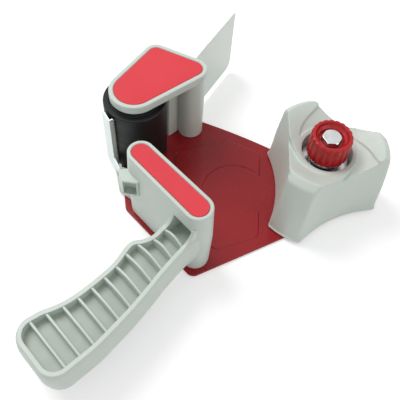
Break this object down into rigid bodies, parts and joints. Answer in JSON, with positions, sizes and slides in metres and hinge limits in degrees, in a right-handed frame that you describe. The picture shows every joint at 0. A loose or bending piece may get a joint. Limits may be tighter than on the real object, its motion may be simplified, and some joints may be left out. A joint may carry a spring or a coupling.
{
  "type": "tape dispenser",
  "caption": "Hand-held packing tape dispenser: side plate with a three-lobed roll hub and tension knob, rubber roller under a top arm, toothed blade, wiper flap and ribbed grip.",
  "frame": {"origin": "middle of the outline at the underside of the side plate", "axes": "+Z from the side plate towards the knob, +Y from the grip towards the wiper flap, +X towards the hub"},
  "size_m": [0.1934, 0.2448, 0.0584],
  "materials": {
    "painted_steel": "glossy dark red enamel",
    "grey_plastic": "satin light grey moulding",
    "red_label": "plain coral red inset",
    "black_rubber": "smooth black",
    "black_plastic": "satin black",
    "white_nylon": "satin natural",
    "zinc_steel": "bright zinc plate",
    "red_plastic": "glossy red",
    "brown_fibre": "pressed fibre"
  },
  "bodies": {
    "frame": {"side_plate": "painted_steel", "handle_screw_near": "zinc_steel", "handle_screw_far": "zinc_steel", "arm_screw": "zinc_steel", "axle_screw": "zinc_steel", "top_arm": "grey_plastic", "arm_label": "red_label", "wiper_flap": "grey_plastic", "roller_washer": "zinc_steel", "roller_axle": "zinc_steel", "handle": "grey_plastic", "handle_label": "red_label", "cutter_blade": "zinc_steel", "hub_spindle": "zinc_steel", "brake_washer": "brown_fibre", "pressure_washer": "zinc_steel", "tension_spring": "zinc_steel"},
    "roller": {"roller_sleeve": "black_rubber", "roller_core": "black_plastic", "roller_bush_lower": "white_nylon", "roller_bush_upper": "white_nylon"},
    "hub": {"hub": "grey_plastic"},
    "knob_seat": {"knob_washer": "zinc_steel"},
    "knob": {"tension_knob": "red_plastic", "hub_bolt": "zinc_steel"}
  },
  "joints": [
    {"name": "hub_spin", "type": "hinge", "parent": "frame", "child": "hub", "pos_m": [0.0569, 0.0182, 0.0015], "axis": [0, 0, 1], "continuous": true},
    {"name": "roller_spin", "type": "hinge", "parent": "frame", "child": "roller", "pos_m": [-0.0566, 0.0412, 0.0015], "axis": [0, 0, 1], "continuous": true},
    {"name": "knob_travel", "type": "slide", "parent": "frame", "child": "knob_seat", "axis": [0, 0, 1], "range_m": [-0.001, 0.001], "deforming": ["tension_spring"]},
    {"name": "knob_turn", "type": "hinge", "parent": "knob_seat", "child": "knob", "pos_m": [0.0569, 0.0182, 0.0465], "axis": [0, 0, 1], "range_deg": [-360, 360]}
  ],
  "couplings": [
    {"joint": "knob_travel", "follows": "knob_turn", "m_per_rad": 0.00015915}
  ]
}
